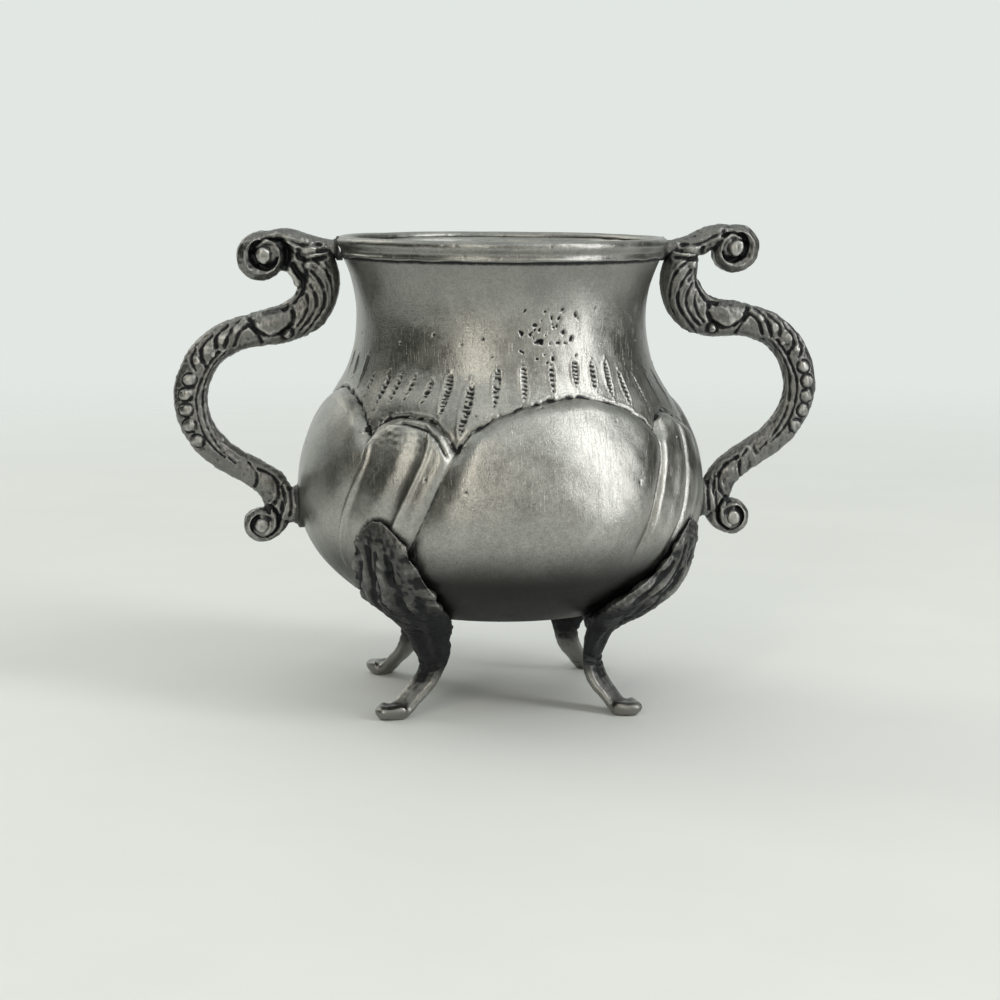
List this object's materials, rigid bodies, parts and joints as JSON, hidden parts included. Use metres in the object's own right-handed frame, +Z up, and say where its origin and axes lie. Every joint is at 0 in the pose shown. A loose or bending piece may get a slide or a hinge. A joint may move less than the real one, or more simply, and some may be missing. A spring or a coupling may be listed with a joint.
{
  "type": "sugar bowl",
  "caption": "Round-bellied open sugar bowl with a rolled rim, S-scroll handles on both sides and cabriole feet with leaf knees.",
  "frame": {"origin": "on the table surface, under the middle of the bowl", "axes": "+Z up along the bowl's axis, X through both handles, -Y towards the front"},
  "size_m": [0.166, 0.104, 0.1208],
  "materials": {
    "bowl_metal": "worn satin silver over grey white metal, dark in the chasing",
    "rim_metal": "worn satin, rubbed bright on the bead",
    "cast_metal": "oxidised casting, black in the hollows and rubbed bright on the ridges",
    "foot_metal": "heavily oxidised casting with toes worn bright",
    "solder": "dull dark solder"
  },
  "bodies": {
    "root": {"bowl_body": "bowl_metal", "base_disc": "bowl_metal", "rim_band": "rim_metal", "handle_left": "cast_metal", "handle_right": "cast_metal", "front_left_foot": "foot_metal", "front_right_foot": "foot_metal", "back_left_foot": "foot_metal", "back_right_foot": "foot_metal", "solder_handle_top_left": "solder", "solder_handle_top_right": "solder", "solder_handle_bottom_left": "solder", "solder_handle_bottom_right": "solder", "solder_front_left_foot": "solder", "solder_front_right_foot": "solder", "solder_back_left_foot": "solder", "solder_back_right_foot": "solder"}
  },
  "joints": []
}
